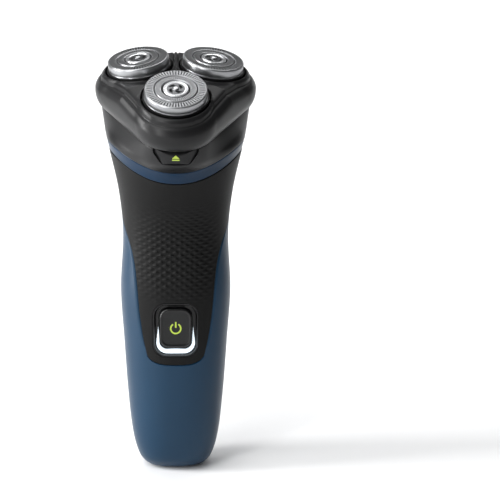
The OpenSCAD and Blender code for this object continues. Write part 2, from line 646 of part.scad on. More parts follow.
// ---- Cutting heads, each in its own leaning frame with 0 at its top face ----
ring_r = 12;
ring_low = -7.4;
ring_top = -3.4;
guard_low = -6.3;
guard_t = 0.45;
module head_ring(i) color(BLACK) at_hub(i) {
    tube(guard_low - 0.1, ring_top, ring_r, guard_r + 0.1);
    tube(ring_low, guard_low - 0.1, ring_r, 10.4);
    intersection() {
        rocker_pins(0.6, pin_reach);
        tube(ring_low, ring_top, 14, ring_r - 0.2);
    }
}
cap_r = 3.9;
module shaving_guard(i) color(STEEL) at_hub(i) difference() {
    rod(guard_low, 0, guard_r);
    rod(guard_low - 1, -guard_t, guard_r - guard_t);
    rod(-2, 1, cap_r + 0.02);
    tube(-0.2, 1, 8.1, 7.7);
    for (k = [0 : guard_slots - 1]) rotate([0, 0, 360 * k / guard_slots]) {
        translate([8.4, -0.16, -1]) cube([2.3, 0.32, 2]);
        translate([5.5, -0.13, -1]) cube([1.8, 0.26, 2]);
    }
}
module guard_cap(i) color("#d5d6d8") at_hub(i) difference() {
    union() {
        rod(-guard_t, 0.15, cap_r);
        rod(0.15, 0.45, 1.1);
    }
    for (k = [0:3]) rotate([0, 0, 90 * k + 20]) translate([1.7, -0.9, -0.05]) cube([0.8, 1.8, 1]);
}
module cutter(i) color("#c4c6c8") at_hub(i) difference() {
    union() {
        rod(-4.2, -3.4, 10.3);
        rod(-socket_depth, -3.4, 3.6);
        for (k = [0 : cutter_blades - 1]) rotate([0, 0, 360 * k / cutter_blades])
            translate([7.3, -0.25, -3.5]) cube([2.8, 0.5, 2.75]);
    }
    translate([-2.1, -2.1, -socket_depth - 1]) cube([4.2, 4.2, 3.2]);
}

rear_shell();
front_grip();
accent_band();
collar();
chassis();
chassis_screws();
battery_cell();
battery_tabs();
circuit_board();
tact_switch();
status_led();
light_guide();
button_bezel();
button_gasket();
charging_socket();
socket_pins();
motor_can();
motor_magnets();
motor_cradle();
motor_mount();
motor_screws();
gear_axles();
deck_cover();
deck_seal();
deck_screws();
unit_hinge_pin();
motor_armature();
motor_shaft();
motor_pinion();
power_button();
power_symbol();
release_button();
release_mark();
head_frame();
retaining_frame();
for (i = [0:2]) {
    drive_gear(i);
    coupling_spring(i);
    drive_coupling(i);
    head_ring(i);
    shaving_guard(i);
    guard_cap(i);
    cutter(i);
}
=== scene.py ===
# Cordless rotary shaver: detailed surfaces, materials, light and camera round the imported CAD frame.
import json
import math

import bmesh
import bpy
import numpy as np
from mathutils import Matrix, Vector


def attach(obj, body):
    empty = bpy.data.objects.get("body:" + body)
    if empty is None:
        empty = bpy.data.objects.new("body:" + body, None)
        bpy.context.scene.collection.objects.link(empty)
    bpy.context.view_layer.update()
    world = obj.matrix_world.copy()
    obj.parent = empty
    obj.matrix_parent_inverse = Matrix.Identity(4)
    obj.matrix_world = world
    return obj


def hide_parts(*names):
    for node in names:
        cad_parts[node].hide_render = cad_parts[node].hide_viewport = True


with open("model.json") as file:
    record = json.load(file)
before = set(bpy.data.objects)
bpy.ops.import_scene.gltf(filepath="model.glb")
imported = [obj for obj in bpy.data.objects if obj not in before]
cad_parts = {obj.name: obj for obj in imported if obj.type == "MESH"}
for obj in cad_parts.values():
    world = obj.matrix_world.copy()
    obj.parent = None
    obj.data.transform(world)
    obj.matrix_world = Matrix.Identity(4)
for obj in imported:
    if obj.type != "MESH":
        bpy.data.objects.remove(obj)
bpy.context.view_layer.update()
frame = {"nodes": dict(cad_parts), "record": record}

MM = 0.001
cad_nodes = frame["nodes"]
scene = bpy.context.scene

# ---- Sizes in millimetres, as in the CAD source ----
SPINE_Y = 10.9          # the handle's middle
HEAD_TILT = 22.0        # forward tilt of the shaving head
HEAD_LEAN = 9.0         # outward lean of each cutting head
HUB_CIRCLE = 16.2
CAP_HEIGHT = 18.0
HEAD_Y, HEAD_Z = SPINE_Y - 7, 138.5
HUB_ANGLES = (270, 30, 150)
BORE_R = 12.5
SHELL_WALL, GRIP_WALL = 1.8, 1.6
GRIP_LOW = 43.5
CORNER_RISE, CORNER_REACH = 7.0, 20.0
BUTTON_W, BUTTON_H, BUTTON_Z = 12.2, 14.9, 57.9
BUTTON_FACE = -17.5
BEZEL_W, BEZEL_H, BEZEL_CORNER, BEZEL_Z = 17.2, 20.8, 5.0, 57.1
BEZEL_FLOOR, BEZEL_BACK = -15.4, -14.0
SYMBOL_R, SYMBOL_T = 1.9, 0.5
RELEASE_TOP, RELEASE_LOW, RELEASE_H = 8.2, 5.0, 6.0
RELEASE_FACE = 13.3
HINGE_BACK, HINGE_W, KNUCKLE_R = 23.0, 1.0, 2.0
KNUCKLE_HALF, FREE_GAP, EAR_W = 6.5, 0.3, 3.6
BAND_LOW_W, BAND_TOP_W = -15.3, -11.4
UNIT_LOW, UNIT_TOP = 0.32, 12.0     # the shaving unit's side, from its parting line up
DECK_MIDDLE, DECK_CAP = 14.2, 15.5  # height of its top at a cutting head, and the most it rises to
DECK_SINK, LIP_RISE = 0.45, 0.5     # how far its top is sunk, and the lips round the bores rise
SEAM_DEPTH = 0.5
INLET_HALF, INLET_DEPTH = 5.0, 3.2  # opening of the charging inlet in the base
SEAM = 0.05                         # gap left between the band and its neighbours
NO_EDGE = 0.01                      # edge radius where an edge stays sharp
WELD = 0.02                         # points nearer than this become one


def sin_d(a):
    return np.sin(np.radians(a))


def cos_d(a):
    return np.cos(np.radians(a))


def axis_z(w):
    return HEAD_Z + w * cos_d(HEAD_TILT)


def axis_y(w):
    return HEAD_Y - w * sin_d(HEAD_TILT)


def upright(z, y, tilt, half, front, rear, square, bend=0):
    return [z, SPINE_Y + y, z, tilt, half, front, rear, square, 0, 14, bend]


def tilted(w, tilt, half, front, rear, square, lobing, lobe_r, bend=0):
    return [axis_z(w), axis_y(w), axis_z(w), tilt, half, front, rear, square, lobing, lobe_r, bend]


# Outlines of the handle and collar, from the base up: height, centre y, centre z, tilt,
# half width, front depth, rear depth, squareness, lobing, lobe radius, bend. A bend of 0 tilts
# an outline evenly, and a larger one keeps the tilt to its front and back
BODY = np.array([
    upright(0, -2.5, 0, 8.4, 5.2, 5.2, 2.2),
    upright(1.2, -2.4, 0, 11.4, 8.5, 8.2, 2.3),
    upright(5, -2.1, 0, 14.3, 12.3, 11.9, 2.4),
    upright(14, -1.5, 0, 16.7, 15.3, 14.8, 2.4),
    upright(30, -0.6, 0, 18.45, 17.0, 16.4, 2.4),
    upright(50, 0, 0, 19.85, 17.8, 17.2, 2.4),
    upright(70, 0.4, 1, 21.05, 17.8, 17.3, 2.4),
    upright(92, 0.2, 5, 20.1, 17.0, 17.4, 2.35),
    upright(108, -0.4, 14, 21.6, 19.3, 19.6, 2.25, 0.5),
    tilted(BAND_LOW_W, HEAD_TILT + 4, 25.1, 24.6, 21.2, 2.1, 0, 14, 1.2),
    tilted(BAND_TOP_W, HEAD_TILT, 25.95, 25.6, 22.0, 2.05, 0.08, 14, 1.2),
    tilted(-6, HEAD_TILT, 27.0, 28.4, 22.8, 2, 0.6, 13.8, 0.2),
    tilted(0, HEAD_TILT, 28.2, 30.5, 22.3, 2, 1, 14)])
BAND_LOW, BAND_TOP, RIM = BODY[9, 0], BODY[10, 0], BODY[12, 0]
GRIP_EDGE = np.array([[40, 34], [50, 39], [56, 41], [68, 44.5], [74, 46.5], [83, 52],
                      [91.5, 63], [100, 84], [108, 104], [BAND_LOW, 118]])


def rows_at(rows, h):
    """Smooth interpolation between the rows of a table, at each height of the array h."""
    h = np.asarray(h, float)
    x = rows[:, 0]
    slope = np.empty_like(rows)
    slope[1:-1] = (rows[2:] - rows[:-2]) / (x[2:] - x[:-2])[:, None]
    slope[0] = (rows[1] - rows[0]) / (x[1] - x[0])
    slope[-1] = (rows[-1] - rows[-2]) / (x[-1] - x[-2])
    i = np.clip(np.searchsorted(x, h, side="right") - 1, 0, len(x) - 2)
    d = (x[i + 1] - x[i])[..., None]
    s = (h - x[i])[..., None] / d
    return ((2 * s**3 - 3 * s**2 + 1) * rows[i] + (s**3 - 2 * s**2 + s) * d * slope[i]
            + (3 * s**2 - 2 * s**3) * rows[i + 1] + (s**3 - s**2) * d * slope[i + 1])


def lobed_radius(t, r):
    """Three round lobes of radius r at the cutting heads, joined by straight sides."""
    d = np.abs((t + 420) % 120 - 60)
    tangent = np.degrees(np.arctan2(r * sin_d(60), HUB_CIRCLE + r * cos_d(60)))
    circle = HUB_CIRCLE * cos_d(d) + np.sqrt(np.maximum(r**2 - (HUB_CIRCLE * sin_d(d))**2, 0))
    return np.where(d < tangent, circle, (HUB_CIRCLE / 2 + r) / cos_d(60 - d))


def waisted_radius(t, r, sag):
    """The same lobes with their straight sides pulled in by sag, and hollow corners between."""
    d = np.abs((t + 420) % 120 - 60)
    circle = HUB_CIRCLE * cos_d(d) + np.sqrt(np.maximum(r**2 - (HUB_CIRCLE * sin_d(d))**2, 0))
    side = (HUB_CIRCLE / 2 + r - sag) / cos_d(60 - d)
    tangent = np.degrees(np.arctan2(r * sin_d(60), HUB_CIRCLE + r * cos_d(60)))
    blend = np.maximum(sag - np.abs(circle - side), 0) / np.maximum(sag, 1e-6)
    joined = np.maximum(circle, side) + blend**2 * sag / 4
    return np.where(d < tangent, circle + blend**2 * sag / 4, joined)


def surface(h, t, inset=0.0):
    """Points of the body at heights h and angles t (0 at the front, 90 at +X), set in by inset."""
    row = np.moveaxis(rows_at(BODY, h), -1, 0)
    half, depth = row[4] - inset, np.where(cos_d(t) > 0, row[5], row[6]) - inset
    n = row[7]
    oval = ((np.abs(sin_d(t)) / half)**n + (np.abs(cos_d(t)) / depth)**n)**(-1 / n)
    r = (1 - row[8]) * oval + row[8] * lobed_radius(t, row[9] - inset)
    y = -r * cos_d(t)
    share = (np.abs(y) / depth)**np.maximum(row[10], 0)
    return np.stack([r * sin_d(t), row[1] + y * cos_d(row[3]), row[2] + y * sin_d(row[3]) * share], -1)


def head_to_row(p):
    """From the head's own frame (x, back, up) to the handle's frame."""
    x, b, w = p[..., 0], p[..., 1], p[..., 2]
    s, c = sin_d(HEAD_TILT), cos_d(HEAD_TILT)
    return np.stack([x, HEAD_Y + b * c - w * s, HEAD_Z + b * s + w * c], -1)


def hub_to_head(p, i):
    """From cutting head i's own leaning frame to the head's frame."""
    s, c = sin_d(HEAD_LEAN), cos_d(HEAD_LEAN)
    x = p[..., 0] * c + p[..., 2] * s + HUB_CIRCLE
    z = -p[..., 0] * s + p[..., 2] * c + CAP_HEIGHT
    ca, sa = cos_d(HUB_ANGLES[i]), sin_d(HUB_ANGLES[i])
    return np.stack([x * ca - p[..., 1] * sa, x * sa + p[..., 1] * ca, z], -1)


def hub_to_row(p, i):
    return head_to_row(hub_to_head(p, i))


# ---- Mesh helpers ----
def new_object(name, points, faces, material):
    mesh = bpy.data.meshes.new(name)
    mesh.from_pydata((np.asarray(points, float) * MM).tolist(), [], faces)
    mesh.validate()
    obj = bpy.data.objects.new(name, mesh)
    scene.collection.objects.link(obj)
    mesh.materials.append(material)
    mesh.polygons.foreach_set("use_smooth", [True] * len(mesh.polygons))
    face_outwards(obj)
    return obj


def face_outwards(obj):
    """Turns the faces outwards, also where a closed mesh is inside out as a whole."""
    bm = bmesh.new()
    bm.from_mesh(obj.data)
    bmesh.ops.recalc_face_normals(bm, faces=bm.faces)
    if all(len(e.link_faces) == 2 for e in bm.edges) and bm.calc_volume(signed=True) < 0:
        bmesh.ops.reverse_faces(bm, faces=bm.faces)
    bm.to_mesh(obj.data)
    bm.free()


def sharpen(obj, angle):
    """Marks edges sharper than angle as sharp, and the rest smooth."""
    bm = bmesh.new()
    bm.from_mesh(obj.data)
    bmesh.ops.recalc_face_normals(bm, faces=bm.faces)
    limit = math.radians(angle)
    for e in bm.edges:
        e.smooth = not (len(e.link_faces) == 2 and e.calc_face_angle(0) > limit)
    for f in bm.faces:
        f.smooth = True
    bm.to_mesh(obj.data)
    bm.free()


def grid_faces(rows, cols, closed_rows=False, closed_cols=False, offset=0, keep=None):
    """Four-sided faces of a grid of points, numbered row by row from offset."""
    faces = []
    for i in range(rows - (0 if closed_rows else 1)):
        for j in range(cols - (0 if closed_cols else 1)):
            if keep is not None and not keep(i, j):
                continue
            a, b = i % rows, (i + 1) % rows
            c, d = j % cols, (j + 1) % cols
            faces.append((offset + a * cols + c, offset + b * cols + c,
                          offset + b * cols + d, offset + a * cols + d))
    return faces


def ring_stack(rings, cap_first=False, cap_last=False, closed=False):
    """Points and faces of a stack of closed rings, each an array of the same number of points."""
    rings = np.asarray(rings)
    rows, cols = rings.shape[:2]
    points = rings.reshape(-1, 3)
    faces = grid_faces(rows, cols, closed_rows=closed, closed_cols=True)
    if cap_first:
        faces.append(tuple(range(cols))[::-1])
    if cap_last:
        faces.append(tuple((rows - 1) * cols + j for j in range(cols)))
    return points, faces


def join(parts):
    """One list of points and one of faces from several."""
    points, faces = [], []
    for p, f in parts:
        faces += [tuple(k + len(points) for k in face) for face in f]
        points += np.asarray(p).tolist()
    return np.array(points), faces


def roll(d, r):
    """How far a rounded edge of radius r has dropped at distance d inside the edge."""
    e = np.clip(r - np.asarray(d, float), 0, r)
    return r - np.sqrt(r**2 - e**2)


def cut(obj, cutter):
    """Cuts the closed mesh cutter out of obj, and removes the cutter."""
    mod = obj.modifiers.new("cut", "BOOLEAN")
    mod.operation, mod.solver, mod.object = "DIFFERENCE", "EXACT", cutter
    bpy.context.view_layer.objects.active = obj
    with bpy.context.temp_override(object=obj, active_object=obj):
        bpy.ops.object.modifier_apply(modifier=mod.name)
    bpy.data.objects.remove(cutter)
    return obj


def prism(outline, low, high, place):
    """Points and faces of an outline (n, 2) drawn between low and high, put in place by a function."""
    rings = [place(np.column_stack([outline, np.full(len(outline), z)])) for z in (low, high)]
    return ring_stack(rings, True, True)


def rounded(w, h, r, steps=8):
    """Outline of a rectangle with corners of radius r."""
    out = []
    for k, (sx, sy) in enumerate(((1, 1), (-1, 1), (-1, -1), (1, -1))):
        for a in np.linspace(90 * k, 90 * k + 90, steps + 1):
            out.append((sx * (w / 2 - r) + r * cos_d(a), sy * (h / 2 - r) + r * sin_d(a)))
    return np.array(out)


def resample(outline, count):
    """An outline as count points, evenly spaced along it."""
    closed = np.vstack([outline, outline[:1]])
    run = np.concatenate([[0], np.cumsum(np.linalg.norm(np.diff(closed, axis=0), axis=1))])
    at = np.linspace(0, run[-1], count, endpoint=False)
    return np.column_stack([np.interp(at, run, closed[:, k]) for k in (0, 1)])


def on_front(y):
    """Puts an outline in X and Z at depth y in front of the spine; a third column adds to y."""
    def place(p):
        return np.column_stack([p[:, 0], SPINE_Y + y - p[:, 2], p[:, 1]])
    return place


def weld(obj):
    """Joins points that lie together."""
    bm = bmesh.new()
    bm.from_mesh(obj.data)
    bmesh.ops.remove_doubles(bm, verts=bm.verts, dist=WELD * MM)
    bmesh.ops.dissolve_degenerate(bm, edges=bm.edges, dist=WELD * MM * 0.1)
    bm.to_mesh(obj.data)
    bm.free()


def boundary_walls(faces, offset):
    """Side faces between the open border of a sheet and the same border offset in the point list."""
    edges = {}
    for f in faces:
        for a, b in zip(f, f[1:] + f[:1]):
            if (b, a) in edges:
                del edges[(b, a)]
            else:
                edges[(a, b)] = True    # a dictionary keeps the order of the edges
    return [(b, a, offset + a, offset + b) for a, b in edges]


def rounded_corners(outline, r, steps=5):
    """An outline with each corner rounded to radius r."""
    out, n = [], len(outline)
    for k in range(n):
        p, a, b = outline[k], outline[k - 1], outline[(k + 1) % n]
        u, v = (a - p) / np.linalg.norm(a - p), (b - p) / np.linalg.norm(b - p)
        reach = min(r, 0.45 * np.linalg.norm(a - p), 0.45 * np.linalg.norm(b - p))
        for s in np.linspace(0, 1, steps + 1):
            q = (1 - s)**2 * (p + u * reach) + 2 * s * (1 - s) * p + s**2 * (p + v * reach)
            out.append(q)
    return np.array(out)


def absorb(obj, extra):
    """Adds closed shells to an object's mesh."""
    other = new_object("extra", *join(extra), obj.data.materials[0])
    sharpen(other, 40)
    bm = bmesh.new()
    bm.from_mesh(obj.data)
    bm.from_mesh(other.data)
    bm.to_mesh(obj.data)
    bm.free()
    bpy.data.objects.remove(other)


# ---- Materials ----
def linear(*srgb):
    """A colour given as 0 to 255 in sRGB, as the linear values that shaders take."""
    values = [v / 255 / 12.92 if v <= 10 else ((v / 255 + 0.055) / 1.055)**2.4 for v in srgb]
    return (*values, 1)


class Surface:
    """A principled material with noise-driven roughness and bump."""

    def __init__(self, name, color, metallic=0.0, coat=0.0, coat_rough=0.1, specular=0.5):
        self.mat = bpy.data.materials.new(name)
        self.mat.use_nodes = True
        self.tree = self.mat.node_tree
        self.shader = self.tree.nodes["Principled BSDF"]
        self.color = color
        self.set("Base Color", color)
        self.set("Metallic", metallic)
        self.set("Coat Weight", coat)
        self.set("Coat Roughness", coat_rough)
        self.set("Specular IOR Level", specular)
        self.position = self.node("ShaderNodeTexCoord").outputs["Object"]

    def node(self, kind, **inputs):
        n = self.tree.nodes.new(kind)
        for key, value in inputs.items():
            n.inputs[key.replace("_", " ")].default_value = value
        return n

    def link(self, a, b):
        self.tree.links.new(a, b)

    def set(self, socket, value):
        self.shader.inputs[socket].default_value = value

    def noise(self, scale, stretch=None):
        n = self.node("ShaderNodeTexNoise", Scale=scale, Detail=3.0, Roughness=0.55)
        if stretch:
            m = self.node("ShaderNodeMapping")
            m.inputs["Scale"].default_value = stretch
            self.link(self.position, m.inputs["Vector"])
            self.link(m.outputs["Vector"], n.inputs["Vector"])
        else:
            self.link(self.position, n.inputs["Vector"])
        return n.outputs["Fac"]

    def ranged(self, value, low, high):
        m = self.node("ShaderNodeMapRange")
        m.inputs["From Min"].default_value, m.inputs["From Max"].default_value = 0.3, 0.7
        m.inputs["To Min"].default_value, m.inputs["To Max"].default_value = low, high
        self.link(value, m.inputs["Value"])
        return m.outputs["Result"]

    def roughness(self, low, high, scale, stretch=None):
        self.link(self.ranged(self.noise(scale, stretch), low, high), self.shader.inputs["Roughness"])
        return self

    def bump(self, scale, depth, strength):
        b = self.node("ShaderNodeBump", Strength=strength, Distance=depth)
        self.link(self.noise(scale), b.inputs["Height"])
        self.link(b.outputs["Normal"], self.shader.inputs["Normal"])
        return self

    def mottle(self, amount, scale=60.0):
        ramp = self.node("ShaderNodeValToRGB")
        ramp.color_ramp.elements[0].position, ramp.color_ramp.elements[1].position = 0.35, 0.65
        for e, k in zip(ramp.color_ramp.elements, (1 - amount, 1 + amount)):
            e.color = tuple(min(c * k, 1) for c in self.color[:3]) + (1,)
        self.link(self.noise(scale), ramp.inputs["Fac"])
        self.link(ramp.outputs["Color"], self.shader.inputs["Base Color"])
        return self


def guard_metal(name, shade, low, high):
    """Finely brushed steel of the guards, with its roughness between low and high."""
    surface = Surface(name, linear(*shade), metallic=1.0)
    return surface.roughness(low, high, 1800).bump(2600, 0.000002, 0.1).mottle(0.02)


BRUSHED = (1.0, 1.0, 30.0)
looks = {
    "blue_shell": Surface("blue_shell", linear(14, 48, 72), specular=0.28)
        .roughness(0.34, 0.40, 1400).bump(2600, 0.00001, 0.15).mottle(0.03),
    "blue_band": Surface("blue_band", linear(8, 37, 61), specular=0.2)
        .roughness(0.28, 0.34, 1400).bump(2600, 0.00001, 0.1).mottle(0.02),
    "soft_grip": Surface("soft_grip", linear(16, 16, 16), specular=0.15)
        .roughness(0.44, 0.52, 1800).bump(3800, 0.00002, 0.25).mottle(0.05),
    "black_trim": Surface("black_trim", linear(13, 13, 14), specular=0.3, coat=0.15, coat_rough=0.12)
        .roughness(0.28, 0.36, 1600).bump(3000, 0.00001, 0.2).mottle(0.05),
    "head_black": Surface("head_black", linear(25, 25, 26), specular=0.25)
        .roughness(0.32, 0.38, 1600).bump(3400, 0.00001, 0.15).mottle(0.04),
    "inner_plastic": Surface("inner_plastic", linear(52, 54, 58))
        .roughness(0.45, 0.6, 1200).bump(2400, 0.00003, 0.3).mottle(0.06),
    "ring_black": Surface("ring_black", linear(14, 14, 15), specular=0.2)
        .roughness(0.4, 0.5, 1600).bump(3000, 0.00002, 0.3).mottle(0.05),
    "screw_steel": Surface("screw_steel", linear(190, 190, 192), metallic=1.0)
        .roughness(0.28, 0.42, 1500).bump(3000, 0.00001, 0.3).mottle(0.05),
    "pin_steel": Surface("pin_steel", linear(182, 183, 186), metallic=1.0)
        .roughness(0.2, 0.32, 1500, stretch=BRUSHED).bump(3000, 0.00001, 0.3).mottle(0.05),
    "cell_wrap": Surface("cell_wrap", linear(58, 122, 66), coat=0.5, coat_rough=0.1)
        .roughness(0.25, 0.35, 800).bump(500, 0.00005, 0.2).mottle(0.05),
    "board_green": Surface("board_green", linear(26, 84, 48), coat=0.4)
        .roughness(0.3, 0.45, 900).bump(1500, 0.00004, 0.4).mottle(0.12, 250),
    "seal_rubber": Surface("seal_rubber", linear(36, 36, 37), specular=0.35)
        .roughness(0.6, 0.75, 1500).bump(2500, 0.00003, 0.4).mottle(0.06),
    "can_steel": Surface("can_steel", linear(168, 169, 172), metallic=1.0)
        .roughness(0.3, 0.42, 900, stretch=BRUSHED).bump(2000, 0.00001, 0.3).mottle(0.05),
    "magnet": Surface("magnet", linear(62, 63, 66))
        .roughness(0.5, 0.65, 1300).bump(2200, 0.00004, 0.5).mottle(0.08),
    "winding_copper": Surface("winding_copper", linear(176, 104, 66), metallic=0.8)
        .roughness(0.3, 0.42, 1200, stretch=(1, 1, 12)).bump(1600, 0.00006, 0.5).mottle(0.12, 200),
    "gear_plastic": Surface("gear_plastic", linear(226, 220, 204))
        .roughness(0.32, 0.42, 1200).bump(2400, 0.00002, 0.3).mottle(0.03),
    "guard_steel": guard_metal("guard_steel", (160, 161, 163), 0.30, 0.36),
    "cutter_steel": Surface("cutter_steel", linear(188, 190, 193), metallic=1.0)
        .roughness(0.22, 0.34, 1500).bump(3500, 0.00001, 0.35).mottle(0.05),
    "mark_lime": Surface("mark_lime", linear(158, 178, 62))
        .roughness(0.35, 0.45, 1500).bump(3000, 0.00001, 0.2).mottle(0.04),
    "lens_white": Surface("lens_white", linear(236, 244, 252))
        .roughness(0.3, 0.4, 1200).bump(2200, 0.00001, 0.2).mottle(0.02),
}
# Lighter and darker copies of the guard steel: painted shade on the centre's dish, and painted
# highlights on the rims and the dome's top. They are no slot of their own
painted_shade_steel = guard_metal("painted_shade_steel", (112, 113, 115), 0.30, 0.36).mat
painted_highlight_steel = guard_metal("painted_highlight_steel", (226, 227, 229), 0.26, 0.32).mat
# Painted glow: the printed lime marks also emit a little light, though they are no lamp; their lime
# colour is the print's own
looks["mark_lime"].set("Emission Color", linear(196, 222, 84))
looks["mark_lime"].set("Emission Strength", 0.2)
looks["lens_white"].set("Emission Color", linear(226, 243, 255))
looks["lens_white"].set("Emission Strength", 0.75)
mat = {k: v.mat for k, v in looks.items()}
# The CAD objects that stay as they are get the same materials
for entry in frame["record"]["subparts"]:
    for place in cad_nodes[entry["node"]].material_slots:
        place.material = mat[entry["material_slot"]]


def piece(obj, body, slot, *nodes):
    """States the body that the object rides, and hides the CAD nodes that it replaces. The slot is not
    used.
    """
    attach(obj, body)
    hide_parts(*nodes)


# ---- Handle: blue shell and black grip on one warped grid ----
def grip_angle(h):
    """Angle from the front at which the grip ends and the shell begins."""
    return rows_at(GRIP_EDGE, np.clip(h, GRIP_EDGE[0, 0], BAND_LOW))[..., 1]


def corner_lift(u):
    """Rise of the grip's lower edge towards its corners, from 0 in the middle to 1."""
    return 1 - np.maximum(1 - np.abs(u)**3, 0)**(1 / 3)


def handle_points(h, c, inset):
    """Points at row heights h and columns c: 0 to 2 across the grip, 2 to 4 round the back."""
    edge = grip_angle(h)
    across = sin_d(90 * (c - 1))
    front = c <= 2
    angle = np.where(front, edge * across, edge + (360 - 2 * edge) * (c - 2) / 2)
    share = np.maximum(0, 1 - np.abs(h - GRIP_LOW) / CORNER_REACH)
    lift = CORNER_RISE * share * np.where(front, corner_lift(across), np.abs(c - 3))
    return surface(h + lift, angle, inset), h + lift


def edge_inset(d, wall, r=0.45):
    """Inset near an edge: rounded over, then back to the wall's inner face where d is negative."""
    return np.where(d < 0, wall, roll(np.maximum(d, 0), r))


def grip_bumps(x, z):
    """Height of the diamond bumps in the soft grip, fading out at its edges."""
    px, pz = 3.7, 2.75      # pitch across and up
    height, flat = 0.42, 0.55
    row = np.round(z / (pz / 2))
    u = (x / px + row * 0.5 + 0.5) % 1 - 0.5
    v = z / pz - row * 0.5
    bump = np.clip(1 - (np.abs(u) / 0.40 + np.abs(v) / 0.30), 0, 1)
    fade = (np.clip((z - 66) / 14, 0, 1) * np.clip((112 - z) / 16, 0, 1)
            * np.clip((17 - np.abs(x)) / 9, 0, 1))
    return height * np.minimum(bump, flat) / flat * fade


# Heights near a rounded edge at which the grids have extra rows
EDGE_STEPS = np.array([0.45, 0.3, 0.18, 0.08])


def make_grip():
    h = np.concatenate([[GRIP_LOW] * 2, GRIP_LOW + EDGE_STEPS[::-1],
                        np.linspace(GRIP_LOW + 0.8, BAND_LOW - 0.8, 250),
                        BAND_LOW - EDGE_STEPS, [BAND_LOW] * 2])
    c = np.concatenate([[0, 0], np.linspace(0.04, 1.96, 150), [2, 2]])
    hh, cc = np.meshgrid(h, c, indexing="ij")
    rows, cols = hh.shape
    side = (1 - np.abs(sin_d(90 * (cc - 1)))) * grip_angle(hh) * 0.35
    side[:, [0, -1]] = -1
    down, up = hh - GRIP_LOW, BAND_LOW - hh
    down[0], up[-1] = -1, -1
    inset = np.maximum(edge_inset(side, GRIP_WALL), np.maximum(
        edge_inset(down, GRIP_WALL), edge_inset(up, GRIP_WALL)))
    flat, lifted = handle_points(hh, cc, np.zeros_like(hh))
    inset = inset - np.where(inset < 0.01, grip_bumps(flat[..., 0], lifted), 0)
    points, _ = handle_points(hh, cc, inset)
    inner, _ = handle_points(hh, cc, np.full_like(hh, GRIP_WALL))
    points = np.concatenate([points.reshape(-1, 3), inner.reshape(-1, 3)])
    outer = grid_faces(rows, cols)
    back = [f[::-1] for f in grid_faces(rows, cols, offset=rows * cols)]
    border = ([(i, 0) for i in range(rows)] + [(rows - 1, j) for j in range(1, cols)]
              + [(i, cols - 1) for i in range(rows - 2, -1, -1)]
              + [(0, j) for j in range(cols - 2, 0, -1)])
    ids = [i * cols + j for i, j in border]
    n, total = len(ids), rows * cols
    walls = [(ids[k], ids[(k + 1) % n], total + ids[(k + 1) % n], total + ids[k]) for k in range(n)]
    obj = new_object("grip_skin", points, outer + back + walls, mat["soft_grip"])
    weld(obj)
    sharpen(obj, 50)
    hole = rounded(BEZEL_W + 0.1, BEZEL_H + 0.1, BEZEL_CORNER) + np.array([0, BEZEL_Z])
    cutter = new_object("hole", *prism(hole, 0, 14, on_front(-10)), mat["soft_grip"])
    cut(obj, cutter)
    piece(obj, "handle", "soft_grip", "front_grip")


def make_shell():
    low = np.concatenate([np.linspace(0, 6, 16)**1.6 / 6**0.6, np.linspace(6.8, GRIP_LOW - 0.8, 44),
                          GRIP_LOW - EDGE_STEPS, [GRIP_LOW] * 2])
    high = np.concatenate([[GRIP_LOW + 0.4], np.linspace(GRIP_LOW + 1, BAND_LOW - 0.8, 90),
                           BAND_LOW - EDGE_STEPS, [BAND_LOW] * 2])
    front = np.linspace(0, 2, 65)[1:-1]
    rear = np.concatenate([[2, 2], 2 + np.array([0.012, 0.026, 0.045]), np.linspace(2.07, 3.93, 110),
                           4 - np.array([0.045, 0.026, 0.012]), [4, 4]])
    h, c = np.concatenate([low, high]), np.concatenate([rear, front])
    edge_row = len(low) - 1
    hh, cc = np.meshgrid(h, c, indexing="ij")
    rows, cols = hh.shape
    is_rear = cc >= 2
    arc = (360 - 2 * grip_angle(hh)) * 0.35 / 2
    side = np.minimum(cc - 2, 4 - cc) * arc
    above = hh >= GRIP_LOW
    up = BAND_LOW - hh
    up[-1] = -1
    top = edge_inset(up, SHELL_WALL)
    # Beside the grip the rear columns round over at both of their ends
    side_inset = np.where(is_rear & above, edge_inset(side, SHELL_WALL), 0)
    side_inset[edge_row:, [0, len(rear) - 1]] = SHELL_WALL
    # Under the grip the front columns round over at their last row
    under = GRIP_LOW - hh
    under[edge_row] = -1
    at_edge = np.arange(rows)[:, None] == edge_row
    front_inset = np.where(~is_rear & (~above | at_edge), edge_inset(under, SHELL_WALL), 0)
    inset = np.maximum(np.maximum(top, side_inset), front_inset)
    points, lifted = handle_points(hh, cc, inset)
    inner, inner_h = handle_points(hh, cc, np.full_like(hh, SHELL_WALL))
    # The inside is squeezed upwards near the base, which leaves a wall there too
    squeeze = 20
    raised = SHELL_WALL + inner[..., 2] * (1 - SHELL_WALL / squeeze)
    inner[..., 2] = np.where(inner_h < squeeze, raised, inner[..., 2])

    def keep(i, j):
        return i < edge_row or j < len(rear) - 1

    outer = grid_faces(rows, cols, closed_cols=True, keep=keep)
    total = rows * cols
    back = [f[::-1] for f in grid_faces(rows, cols, closed_cols=True, offset=total, keep=keep)]
    walls = boundary_walls(outer, total)
    # The flat base, round the charging inlet
    angle = np.array([col_angle(x) for x in c])
    points = np.concatenate([points.reshape(-1, 3), inner.reshape(-1, 3),
                             inlet_hole(angle, 0), inlet_hole(angle, SHELL_WALL)])
    walls = [w for w in walls if not all(k < cols or total <= k < total + cols for k in w)]
    a, b = 2 * total, 2 * total + cols
    for j in range(cols):
        k = (j + 1) % cols
        walls += [(a + j, j, k, a + k), (total + j, b + j, b + k, total + k),
                  (b + j, a + j, a + k, b + k)]
    obj = new_object("shell_skin", points, outer + back + walls, mat["blue_shell"])
    weld(obj)
    sharpen(obj, 50)
    piece(obj, "handle", "blue_shell", "rear_shell")


def col_angle(c):
    """Angle of column c at the base."""
    edge = float(grip_angle(0.0))
    return edge * float(sin_d(90 * (c - 1))) if c < 2 else edge + (360 - 2 * edge) * (c - 2) / 2


